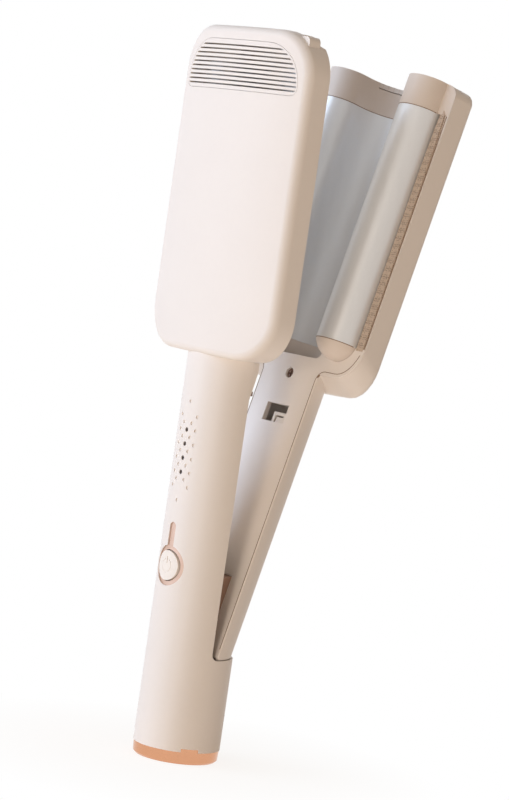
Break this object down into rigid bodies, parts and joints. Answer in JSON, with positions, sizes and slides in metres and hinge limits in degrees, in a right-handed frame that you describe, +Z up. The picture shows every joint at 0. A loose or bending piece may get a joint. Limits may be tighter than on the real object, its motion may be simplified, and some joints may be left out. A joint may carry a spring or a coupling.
{
  "type": "hair crimper",
  "caption": "Deep-wave hair crimper with a round handle, a pillow-shaped barrel head and a sprung lever head that opens on a hinge near the foot.",
  "frame": {"origin": "centre of the foot ring's lower face", "axes": "+Z up the handle's axis, +X across the width of the heads, +Y towards the lever"},
  "size_m": [0.086, 0.1081, 0.32],
  "materials": {
    "cream_plastic": "satin moulded",
    "coated_plate": "satin ceramic-coated",
    "rose_metal": "polished rose gold plate",
    "steel": "plain",
    "inner_plastic": "heat-resistant moulded",
    "smoked_lens": "dark translucent",
    "board": "solder resist",
    "bush_rubber": "soft moulded"
  },
  "bodies": {
    "handle": {"handle_tube": "cream_plastic", "head_cover": "cream_plastic", "vent_grille": "cream_plastic", "tube_back_cover": "cream_plastic", "barrel_frame": "cream_plastic", "barrel_plate": "coated_plate", "barrel_heater": "inner_plastic", "button_bezel": "rose_metal", "indicator_lights": "smoked_lens", "control_board": "board", "hinge_bracket": "inner_plastic", "hinge_pin": "steel", "hinge_spring": "steel", "base_ring": "rose_metal", "base_cap": "inner_plastic"},
    "lever": {"lever_shell": "cream_plastic", "lever_cover": "cream_plastic", "channel_frame": "cream_plastic", "channel_plate": "coated_plate", "channel_heaters": "inner_plastic", "hinge_tongue": "inner_plastic", "latch_keeper": "cream_plastic", "lever_cover_screw": "steel"},
    "lock": {"lock_slider": "inner_plastic"},
    "button": {"power_button": "cream_plastic"},
    "bush": {"cord_bush": "bush_rubber"}
  },
  "joints": [
    {"name": "lever_hinge", "type": "hinge", "parent": "handle", "child": "lever", "pos_m": [0, -0.007, 0.0544], "axis": [1, 0, 0], "range_deg": [0, 14.8], "stiffness_Nm_per_rad": 0.6, "springref_deg": -34.38},
    {"name": "lock_slide", "type": "slide", "parent": "handle", "child": "lock", "axis": [0, 0, 1], "range_m": [-0.003, 0]},
    {"name": "button_press", "type": "slide", "parent": "handle", "child": "button", "axis": [0, 1, 0], "range_m": [0, 0.0006], "stiffness_N_per_m": 300, "springref_m": -0.0005},
    {"name": "bush_swivel", "type": "hinge", "parent": "handle", "child": "bush", "pos_m": [0, 0, 0], "axis": [0, 0, 1], "continuous": true}
  ]
}
